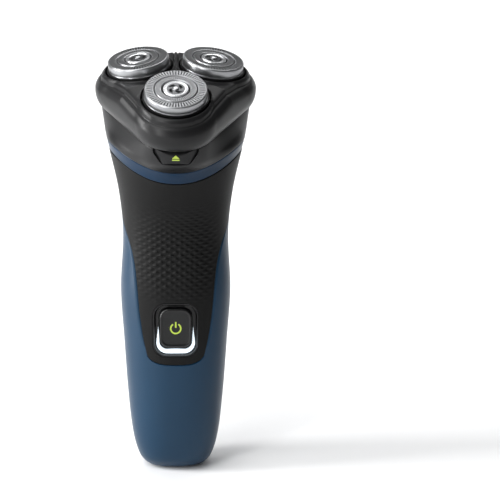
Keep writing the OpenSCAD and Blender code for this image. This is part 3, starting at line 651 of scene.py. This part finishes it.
def inlet_hole(t, z):
    """Points round the charging inlet's opening, at the angles t and the height z."""
    r = ((np.abs(sin_d(t)) / INLET_HALF)**4 + (np.abs(cos_d(t)) / INLET_DEPTH)**4)**-0.25
    return np.column_stack([r * sin_d(t), BODY[0, 1] - r * cos_d(t), np.full(len(t), float(z))])


make_grip()
make_shell()


# ---- Blue band and black collar ----
def body_ring(name, low, high, steps, material, top_r=0.35, sink=0.0):
    """A tube of the body between two heights, with rounded edges, its face set in by sink."""
    bottom_r = 0.35
    near_edge = np.array([0, 0.05, 0.12, 0.2, 0.35])
    t = np.linspace(0, 360, 240, endpoint=False)
    heights = np.concatenate([low + near_edge, np.linspace(low + 0.6, high - 0.6, steps),
                              high - near_edge[::-1]])
    rings = []
    for h in heights:
        edge = max(float(roll(h - low, bottom_r)), float(roll(high - h, top_r)))
        rings.append(surface(np.full_like(t, h), t, sink + edge))
    rings += [surface(np.full_like(t, h), t, SHELL_WALL) for h in (high, (low + high) / 2, low)]
    obj = new_object(name, *ring_stack(rings, closed=True), material)
    sharpen(obj, 50)
    return obj


band = body_ring("band_skin", BAND_LOW + SEAM, BAND_TOP - SEAM, 10, mat["blue_band"], sink=0.12)
piece(band, "handle", "blue_band", "accent_band")
collar = body_ring("collar_skin", BAND_TOP, RIM, 30, mat["head_black"], top_r=0.3)


def release_outline(grow, top):
    """Outline of the release button, grown all round, from its foot up to the height top."""
    wide, narrow, foot, shoulder = RELEASE_TOP + grow, RELEASE_LOW + grow, -RELEASE_H - grow, -1.6
    return np.array([(-wide, top), (-wide, shoulder), (-narrow, foot),
                     (narrow, foot), (wide, shoulder), (wide, top)])


def in_head_front(depth_at):
    """Places outline points (x, w, forward) in the head's frame, forward of depth_at."""
    def place(p):
        return head_to_row(np.column_stack([p[:, 0], -(depth_at + p[:, 2]), p[:, 1]]))
    return place


RELEASE_CORNER = 0.9
notch = rounded_corners(release_outline(0.08, 1.5), RELEASE_CORNER)
cut(collar, new_object("notch", *prism(notch, 0, 12, in_head_front(24)), mat["head_black"]))


def barrel(x0, x1, r, edge, n=40):
    """A rod along X at the hinge, with rounded ends."""
    a = np.linspace(0, 360, n, endpoint=False)
    stations = [(x0, r - edge), (x0 + edge * 0.3, r - edge * 0.3), (x0 + edge, r),
                (x1 - edge, r), (x1 - edge * 0.3, r - edge * 0.3), (x1, r - edge)]
    rings = []
    for x, k in stations:
        b, w = HINGE_BACK + k * cos_d(a), HINGE_W + k * sin_d(a)
        rings.append(head_to_row(np.column_stack([np.full(n, x), b, w])))
    return ring_stack(rings, True, True)


def block(x0, x1, b0, b1, w0, w1):
    """A box in the head's frame with bevelled edges."""
    e = 0.3
    rings = []
    for x, k in ((x0, e), (x0 + e, 0), (x1 - e, 0), (x1, e)):
        o = rounded(b1 - b0 - 2 * k, w1 - w0 - 2 * k, 0.4, 4)
        b, w = (b0 + b1) / 2 + o[:, 0], (w0 + w1) / 2 + o[:, 1]
        rings.append(head_to_row(np.column_stack([np.full(len(o), x), b, w])))
    return ring_stack(rings, True, True)


def clear_barrel(obj, x0, x1):
    """Cuts room for a knuckle of the hinge out of obj."""
    cut(obj, new_object("clear", *barrel(x0, x1, KNUCKLE_R + FREE_GAP, NO_EDGE), mat["head_black"]))


ear_in = KNUCKLE_HALF + FREE_GAP
KNUCKLE_EDGE, HINGE_FOOT = 0.35, 2.6
clear_barrel(collar, -ear_in, ear_in)
ears = []
for side in (-1, 1):
    x0, x1 = sorted((side * ear_in, side * (ear_in + EAR_W)))
    ears += [barrel(x0, x1, KNUCKLE_R, KNUCKLE_EDGE),
             block(x0, x1, HINGE_BACK - KNUCKLE_R, HINGE_BACK - 0.4 * KNUCKLE_R, -HINGE_FOOT, HINGE_W)]
absorb(collar, ears)
sharpen(collar, 45)
piece(collar, "handle", "head_black", "collar")


# ---- Shaving unit's frame ----
def deck_height(x, b):
    """Height of the unit's top over a point: it leans with the nearest cutting head, up to a cap, and
    has a raised lip round each bore."""
    away = [np.hypot(x - HUB_CIRCLE * cos_d(a), b - HUB_CIRCLE * sin_d(a)) for a in HUB_ANGLES]
    slope = np.tan(np.radians(HEAD_LEAN))
    planes = [DECK_MIDDLE - (x * cos_d(a) + b * sin_d(a) - 15.9) * slope for a in HUB_ANGLES]
    top = np.minimum(np.choose(np.argmin(away, axis=0), planes), DECK_CAP)
    lip = np.clip(1 - (np.min(away, axis=0) - BORE_R - 0.2) / 0.9, 0, 1)
    # Two seams run back from the middle, between the rear cutting heads
    seams = np.exp(-((np.abs(x) - 0.75) / 0.22)**2) * np.clip((b - 5) / 2, 0, 1)
    return top - DECK_SINK + LIP_RISE * lip * lip * (3 - 2 * lip) - SEAM_DEPTH * seams


# Profile of the unit's outside from the parting line up: height, lobe radius, sag of the sides
UNIT_PROFILE = np.array([
    (UNIT_LOW, 14.4, 0.0), (0.9, 14.85, 0.0), (2.4, 15.55, 0.0), (3.8, 15.9, 0.0), (5.6, 16.05, 0.05),
    (7.6, 15.95, 0.1), (8.8, 15.6, 0.2), (9.6, 15.1, 0.3), (10.1, 14.65, 0.4), (10.35, 14.2, 0.5),
    (10.42, 13.85, 0.6), (10.7, 13.66, 0.7), (11.2, 13.6, 0.75), (UNIT_TOP, 13.5, 0.8)])


def turned(profile, count, i):
    """Rings of count points about cutting head i's axis: profile rows are (radius, height)."""
    a = np.linspace(0, 360, count, endpoint=False)
    return [hub_to_row(np.column_stack([r * cos_d(a), r * sin_d(a), np.full(count, z)]), i)
            for r, z in profile]


def make_unit():
    t = np.linspace(0, 360, 360, endpoint=False)
    spans = ((UNIT_LOW, 0.9, 4), (1.4, 8.4, 24), (8.6, 9.8, 10), (9.9, 10.8, 22), (10.9, UNIT_TOP, 8))
    heights = np.concatenate([np.linspace(*span) for span in spans])
    rings = []

    def ring(radius, w):
        x, b = radius * sin_d(t), -radius * cos_d(t)
        return np.column_stack([x, b, np.broadcast_to(w, t.shape)])

    round_over, round_drop = 1.3, 0.5

    def rim_height(radius):
        return deck_height(radius * sin_d(t), -radius * cos_d(t)) - round_drop

    inner_top = 9.0
    for k in (0.05, 0.3, 0.6, 0.8, 0.93):
        rings.append(ring(k * lobed_radius(t, 12.6), inner_top))
    for w, r in ((inner_top, 12.7), (8.6, 13.0), (6, 14.0), (4, 14.0), (2.4, 13.6), (0.6, 12.9),
                 (UNIT_LOW, 12.8)):
        rings.append(ring(lobed_radius(t, r), w))
    for w, r, sag in rows_at(UNIT_PROFILE, heights):
        edge = waisted_radius(t, r, max(sag, 0.001))
        # The upper rows follow the deck, which isn't level
        share = np.clip((w - 3.0) / 5.6, 0, 1)**1.5
        rings.append(ring(edge, w + (rim_height(edge) - UNIT_TOP) * share))
    for d in (0.15, 0.4, 0.8, round_over):
        rings.append(ring(edge - d, rim_height(edge - d) + round_drop * (1 - (1 - d / round_over)**2)))
    for k in np.linspace(0.94, 0.04, 46):
        r = (edge - round_over) * k
        rings.append(ring(r, deck_height(r * sin_d(t), -r * cos_d(t))))
    rings = [head_to_row(r) for r in rings]
    obj = new_object("unit_skin", *ring_stack(rings, True, True), mat["head_black"])
    for i in range(3):
        bore = turned(((BORE_R, -16), (BORE_R, -4.4), (BORE_R + 0.35, -3.9),
                       (BORE_R + 0.45, -3.2), (BORE_R + 0.45, 3)), 160, i)
        cut(obj, new_object("bore", *ring_stack(bore, True, True), mat["head_black"]))
    for side in (-1, 1):
        x0, x1 = sorted((side * (KNUCKLE_HALF + 0.1), side * (KNUCKLE_HALF + 2 * FREE_GAP + EAR_W)))
        clear_barrel(obj, x0, x1)
    absorb(obj, [barrel(-KNUCKLE_HALF, KNUCKLE_HALF, KNUCKLE_R, KNUCKLE_EDGE),
                 block(-KNUCKLE_HALF, KNUCKLE_HALF, HINGE_BACK - KNUCKLE_R, HINGE_BACK,
                       HINGE_W, HINGE_W + HINGE_FOOT)])
    # The walls round the three openings, below the deck
    liners = []
    inside, outside = BORE_R + 0.02, BORE_R + 0.8
    for i in range(3):
        tube = turned(((inside, -6.5), (inside, -4.6), (outside, -4.6), (outside, -6.5)), 120, i)
        liners.append(ring_stack(tube, closed=True))
    absorb(obj, liners)
    sharpen(obj, 38)
    piece(obj, "shaving_unit", "head_black", "head_frame")


make_unit()


# ---- Guards, centre caps and rings of the cutting heads ----
def polar_plate(profile, slots, count):
    """A turned plate whose top has rings of radial slots: profile rows are (radius, height), and slots
    rows are (inner radius, outer radius)."""
    per, near, wall = 4, 0.3, 0.02
    base = np.arange(count * per)
    k = base % per
    rings = []
    for r, z in profile:
        share = SLOT_SHARE if any(r0 - near <= r <= r1 + near for r0, r1 in slots) else 0.5
        offset = np.choose(k, [-share / 2, -share / 2 + wall, share / 2 - wall, share / 2])
        a = (base // per + offset) * (360 / count)
        cut_here = any(r0 <= r <= r1 for r0, r1 in slots)
        depth = np.where(((k == 1) | (k == 2)) & cut_here, SLOT_DEPTH, 0.0)
        rings.append(np.column_stack([r * cos_d(a), r * sin_d(a), z - depth]))
    return rings


GUARD_PROFILE = [
    (10.9, -6.3), (11.4, -6.3), (11.46, -6.2), (11.46, -3.5), (11.4, -3.35), (11.2, -3.3),
    (11.15, -3.15), (11.36, -2.95), (11.4, -2.8), (11.4, -0.7), (11.34, -0.38), (11.17, -0.13),
    (10.9, -0.02), (10.72, 0.0), (10.7, 0.0), (8.43, 0.0), (8.4, 0.0), (8.15, -0.03),
    (8.0, -0.12), (7.93, -0.45), (7.68, -0.45), (7.6, -0.12), (7.45, 0.06), (7.27, 0.1),
    (7.25, 0.1), (5.63, 0.1), (5.6, 0.1), (5.4, 0.06), (5.2, -0.1), (5.12, -0.4), (4.62, -0.4),
    (4.55, -0.05), (4.42, 0.12), (4.3, 0.16), (4.1, 0.14), (3.97, 0.0), (3.92, -0.45)]
SLOTS = [(8.43, 10.7), (5.63, 7.25)]
SLOT_COUNT, SLOT_SHARE, SLOT_DEPTH = 60, 0.42, 0.6      # slots per ring, share of the pitch, depth
CAP_R, CAP_DOME_R, CAP_BACK = 3.88, 1.15, -0.6
PAINTED_SHADE_DEPTH = -0.3                                           # what lies lower than this is painted black, as painted shade


def paint_light_and_shade(obj, local, choose, *extra):
    """Adds materials to a piece, and picks one for each face by its mean radius and top height; this
    paints shade and highlights onto the guards.
    """
    for m in extra:
        obj.data.materials.append(m)
    for face in obj.data.polygons:
        corners = local[list(face.vertices)]
        face.material_index = choose(np.hypot(corners[:, 0], corners[:, 1]).mean(), corners[:, 2].max())


def make_guard(i):
    rings = polar_plate(GUARD_PROFILE, SLOTS, SLOT_COUNT)
    n = len(rings[0])
    a = np.linspace(0, 360, n, endpoint=False)
    for r, z in ((4.2, -0.85), (10.6, -0.9), (10.85, -1.2), (10.85, -6.0)):
        rings.append(np.column_stack([r * cos_d(a), r * sin_d(a), np.full(n, z)]))
    obj = new_object(f"guard_skin_{i + 1}", *ring_stack([hub_to_row(p, i) for p in rings], closed=True),
                     mat["guard_steel"])
    sharpen(obj, 35)
    # Painted shade: black on the slot floors and grooves; painted highlight: lighter steel on the rim
    # round the centre
    paint_light_and_shade(obj, np.concatenate(rings),
         lambda r, z: 0 if r > 10.75 else 1 if z < PAINTED_SHADE_DEPTH else 2 if r < 5.1 else 0,
         mat["ring_black"], painted_highlight_steel)
    piece(obj, f"flex_head_{i + 1}", "guard_steel", f"shaving_guard_{i + 1}")


def make_cap(i):
    """Centre of the guard: a dished disc with comma-shaped slots round a small dome."""
    radii = np.concatenate([[0.05, 0.3, 0.6, 0.85, 1.0, 1.1, 1.2], np.linspace(1.3, 3.5, 24),
                            [3.65, 3.8, CAP_R]])
    n = 144
    a = np.linspace(0, 360, n, endpoint=False)
    rings = []
    for r in radii:
        z = np.full(n, 0.5 * math.sqrt(1 - (r / CAP_DOME_R)**2) + 0.05 if r < CAP_DOME_R else 0.0)
        z += 0.12 * np.clip((r - 3.3) / 0.4, 0, 1)
        twist = (a - 26 * (r - 1.6) + 20) % 90
        inside = (r > 1.55) & (r < 2.65) & (twist > 14) & (twist < 62)
        z = np.where(inside, -0.5, z)
        rings.append(np.column_stack([r * cos_d(a), r * sin_d(a), z]))
    rings.append(np.column_stack([CAP_R * cos_d(a), CAP_R * sin_d(a), np.full(n, CAP_BACK)]))
    obj = new_object(f"cap_skin_{i + 1}", *ring_stack([hub_to_row(p, i) for p in rings], True, True),
                     mat["guard_steel"])
    sharpen(obj, 35)
    # Painted shade: black in the comma slots and darker steel on the dish; painted highlight: lighter
    # steel on the outer rim and the dome's top
    paint_light_and_shade(obj, np.concatenate(rings), lambda r, z: 1 if z < PAINTED_SHADE_DEPTH else 2 if r > 3.3 or r < 0.9 else 3,
         mat["ring_black"], painted_highlight_steel, painted_shade_steel)
    piece(obj, f"flex_head_{i + 1}", "guard_steel", f"guard_cap_{i + 1}")


for i in range(3):
    make_guard(i)
    make_cap(i)


# ---- Power button, its recess, mark and lit crescent ----
def front_ring(w, h, corner, z, y, count):
    """A rounded rectangle about the height z on the front, at depth y from the spine."""
    o = resample(rounded(w, h, corner), count) + np.array([0, z])
    return np.column_stack([o[:, 0], np.full(count, SPINE_Y + y), o[:, 1]])


def make_button():
    """A rounded square with a fine rim round a slightly dished face, and its stem behind."""
    face, stem_r, stem_n = BUTTON_FACE, 1.5, 32
    # Rows from the back: how much smaller, corner radius, y
    stations = [(0, 3.4, -13.4), (0, 3.4, face + 0.7), (0.12, 3.35, face + 0.45),
                (0.5, 3.2, face + 0.16), (0.95, 3.0, face + 0.02), (1.5, 2.8, face),
                (1.9, 2.6, face + 0.14), (2.4, 2.4, face + 0.17)]
    rings = [front_ring(BUTTON_W - d, BUTTON_H - d, r, BUTTON_Z, y, 96) for d, r, y in stations]
    dish_w, dish_h = BUTTON_W - 2.4, BUTTON_H - 2.4
    for k in np.linspace(0.9, 0.1, 9):
        y = face + 0.17 + 0.1 * (1 - k)
        rings.append(front_ring(dish_w * k, dish_h * k, 2.4 * k, BUTTON_Z, y, 96))
    obj = new_object("button_skin", *ring_stack(rings, True, True), mat["black_trim"])
    sharpen(obj, 40)
    a = np.linspace(0, 360, stem_n, endpoint=False)
    x, z = stem_r * cos_d(a), BUTTON_Z + stem_r * sin_d(a)
    stem = [np.column_stack([x, np.full(stem_n, SPINE_Y + y), z]) for y in (-9.5, -13.5)]
    absorb(obj, [ring_stack(stem, True, True)])
    piece(obj, "power_button", "black_trim", "power_button")


def ribbon(points, half, depth, y, taper=1.0):
    """A flat strip along points (x, z) on the front, with square ends, as points and faces. Its half
    width is half times taper."""
    points = np.asarray(points, float)
    tangent = np.gradient(points, axis=0)
    tangent /= np.linalg.norm(tangent, axis=1)[:, None]
    side = np.column_stack([-tangent[:, 1], tangent[:, 0]])
    width = np.full(len(points), half * taper)
    rings = []
    for p, s, k in zip(points, side, width):
        corners = [(p + s * k, 0), (p + s * k * 0.8, depth), (p - s * k * 0.8, depth), (p - s * k, 0)]
        rings.append(np.array([(q[0], SPINE_Y + y - d, q[1]) for q, d in corners]))
    return ring_stack(rings, True, True)


def make_symbol():
    """A generic power mark: an open ring and a bar."""
    z, gap = BUTTON_Z - 0.1, 32
    a = np.linspace(90 + gap, 450 - gap, 40)
    arc = np.column_stack([SYMBOL_R * cos_d(a), z + SYMBOL_R * sin_d(a)])
    bar = np.column_stack([np.zeros(6), np.linspace(z + 0.3, z + 2.55, 6)])
    strips = [ribbon(path, SYMBOL_T / 2 + 0.08, 0.12, BUTTON_FACE + 0.32) for path in (arc, bar)]
    obj = new_object("symbol_skin", *join(strips), mat["mark_lime"])
    sharpen(obj, 30)
    piece(obj, "power_button", "mark_lime", "power_symbol")


def front_surface_y(x, z):
    """Depth of the grip's face over a point on the front, from the spine, found step by step."""
    radius = 17.8
    t = np.degrees(np.arctan2(x, radius))
    for _ in range(6):
        p = surface(z, t)
        t = t + np.degrees((x - p[..., 0]) / np.hypot(p[..., 0], radius))
    return surface(z, t)[..., 1] - SPINE_Y


def make_bezel():
    """The recess: a lip level with the grip, a hollow wall, and a floor with the button's opening."""
    count = 120
    rings = []
    # Rows: growth in size, depth below the grip's face, and how closely the row follows that face
    stations = [(0, 1.6, 1), (0, 0.25, 1), (-0.25, 0.02, 1), (-0.6, 0.0, 1), (-1.0, 0.12, 1),
                (-1.5, 0.55, 0.8), (-1.9, 1.2, 0.45), (-2.2, 1.75, 0.2), (-2.5, 2.0, 0)]
    for grow, dy, follow in stations:
        w, h, corner = BEZEL_W + grow, BEZEL_H + grow, BEZEL_CORNER + grow / 2
        o = front_ring(w, h, corner, BEZEL_Z, 0, count)
        y = front_surface_y(o[:, 0], o[:, 2])
        y = follow * (y + dy) + (1 - follow) * BEZEL_FLOOR
        rings.append(front_ring(w, h, corner, BEZEL_Z, y, count))
    for y in (BEZEL_FLOOR, BEZEL_BACK):
        rings.append(front_ring(BUTTON_W + 0.6, BUTTON_H + 0.6, 3.7, BUTTON_Z, y, count))
    rings.append(front_ring(BEZEL_W, BEZEL_H, BEZEL_CORNER, BEZEL_Z, BEZEL_BACK, count))
    obj = new_object("bezel_skin", *ring_stack(rings, closed=True), mat["black_trim"])
    sharpen(obj, 40)
    piece(obj, "handle", "black_trim", "button_bezel")


def make_crescent():
    """The lit strip along the bottom of the recess, thin at both ends."""
    outer = resample(rounded(BEZEL_W - 2.6, BEZEL_H - 2.4, BEZEL_CORNER - 1.0, 12), 240)
    low = outer[outer[:, 1] < 1.0]
    path = low[np.argsort(np.arctan2(low[:, 0], -low[:, 1]))]
    taper = np.clip(1 - np.abs(np.linspace(-1, 1, len(path)))**1.7, 0.06, 1)
    inward = -path / np.linalg.norm(path, axis=1)[:, None]
    path = path + inward * 0.7 + np.array([0, BEZEL_Z])
    strip = ribbon(path, 1.0, 0.55, BEZEL_FLOOR + 0.05, taper)
    obj = new_object("crescent_skin", *strip, mat["lens_white"])
    sharpen(obj, 60)
    piece(obj, "handle", "lens_white", "light_guide")


make_button()
make_symbol()
make_bezel()
make_crescent()


# ---- Release button and its mark ----
def release_ring(outline, depth):
    """The outline wrapped on the release button's curved face, set in by depth."""
    reach = np.sqrt(np.maximum(RELEASE_FACE**2 - outline[:, 0]**2, 0)) + HUB_CIRCLE - depth
    return head_to_row(np.column_stack([outline[:, 0], -reach, outline[:, 1]]))


def make_release_button():
    """A thin curved plate: its back, its rounded edge and its face."""
    outline = rounded_corners(release_outline(0, -0.2), RELEASE_CORNER)
    centre = outline.mean(axis=0)
    back = [(k, 0.7) for k in (0.2, 0.5, 0.8, 1.0)]
    front = [(1.0, 0.25), (0.985, 0.08), (0.96, 0.0), (0.8, 0.0), (0.5, 0.0), (0.2, 0.0)]
    rings = [release_ring(centre + (outline - centre) * k, d) for k, d in back + front]
    obj = new_object("release_skin", *ring_stack(rings, True, True), mat["head_black"])
    sharpen(obj, 40)
    piece(obj, "release_button", "head_black", "release_button")


def make_release_mark():
    """A generic opening mark: a rounded triangle over a short bar."""
    half = 1.35
    triangle = rounded_corners(np.array([(-half, -3.2), (half, -3.2), (0, -1.85)]), 0.25)
    bar = rounded_corners(np.array([(-half, -4.0), (half, -4.0), (half, -3.55), (-half, -3.55)]), 0.12)
    parts = [ring_stack([release_ring(o, d) for d in (0.25, -0.06)], True, True)
             for o in (triangle, bar)]
    obj = new_object("mark_skin", *join(parts), mat["mark_lime"])
    sharpen(obj, 30)
    piece(obj, "release_button", "mark_lime", "release_mark")


make_release_button()
make_release_mark()


# ---- Floor, light and camera ----
def floor():
    """A pale sweep: a flat floor that curves up behind the shaver."""
    left, right, near, turn, radius, top = -3.5, 3.5, -4.0, 0.9, 0.4, 0.75
    arc = [(turn + radius * math.sin(a), radius - radius * math.cos(a))
           for a in np.radians(np.linspace(0, 90, 16))]
    points = [(x, y, z) for y, z in [(near, 0)] + arc + [(turn + radius, top)] for x in (left, right)]
    faces = [(2 * k, 2 * k + 1, 2 * k + 3, 2 * k + 2) for k in range(len(points) // 2 - 1)]
    sweep = Surface("sweep", (0.93, 0.935, 0.94, 1), specular=0.2).roughness(0.7, 0.85, 40)
    obj = new_object("sweep", np.array(points) / MM, faces, sweep.mat)


def area_light(name, place, target, size, power):
    """A white rectangular light at place, turned to target; all in metres and watts."""
    light = bpy.data.lights.new(name, "AREA")
    light.shape, light.size, light.size_y = "RECTANGLE", *size
    light.energy = power
    obj = bpy.data.objects.new(name, light)
    scene.collection.objects.link(obj)
    obj.location = place
    obj.rotation_mode = "QUATERNION"
    obj.rotation_quaternion = (Vector(target) - Vector(place)).to_track_quat("-Z", "Y")


floor()
world = bpy.data.worlds.new("studio")
world.use_nodes = True
backdrop = world.node_tree.nodes["Background"].inputs
backdrop["Color"].default_value = (1, 1, 1, 1)
backdrop["Strength"].default_value = 0.1
scene.world = world
aim = (0, SPINE_Y * MM, 0.09)
area_light("key_left", (-0.85, -0.1, 0.3), aim, (0.25, 0.9), 13)
area_light("front_left", (-0.6, -0.8, 0.3), aim, (0.12, 0.8), 5)
area_light("top", (-0.45, -0.5, 1.05), aim, (0.7, 0.6), 7)
area_light("overhead", (0, 0.15, 1.3), (0, 0, 0.15), (1.0, 0.8), 2.5)
area_light("wall", (0, 0.45, 0.95), (0, 1.3, 0.2), (1.2, 0.3), 11)
scene.view_settings.view_transform = "Standard"

# The shaver stands left of the middle, so the camera pans a little to its right, in degrees
DISTANCE, ELEVATION, LOOK_Z = 0.6, 12.0, 0.08
PAN, RISE = 2.724, 0.415
camera = bpy.data.cameras.new("camera")
camera.lens, camera.sensor_width = 112.35, 36.0
camera.clip_start, camera.clip_end = 0.01, 20
eye = bpy.data.objects.new("camera", camera)
scene.collection.objects.link(eye)
e = math.radians(ELEVATION)
eye.location = (0, SPINE_Y * MM - DISTANCE * math.cos(e), LOOK_Z + DISTANCE * math.sin(e))
look = Matrix.Rotation(math.pi / 2 - e, 4, "X")
eye.rotation_euler = (look @ Matrix.Rotation(-math.radians(PAN), 4, "Y")
                      @ Matrix.Rotation(math.radians(RISE), 4, "X")).to_euler()
scene.camera = eye

bpy.context.view_layer.update()
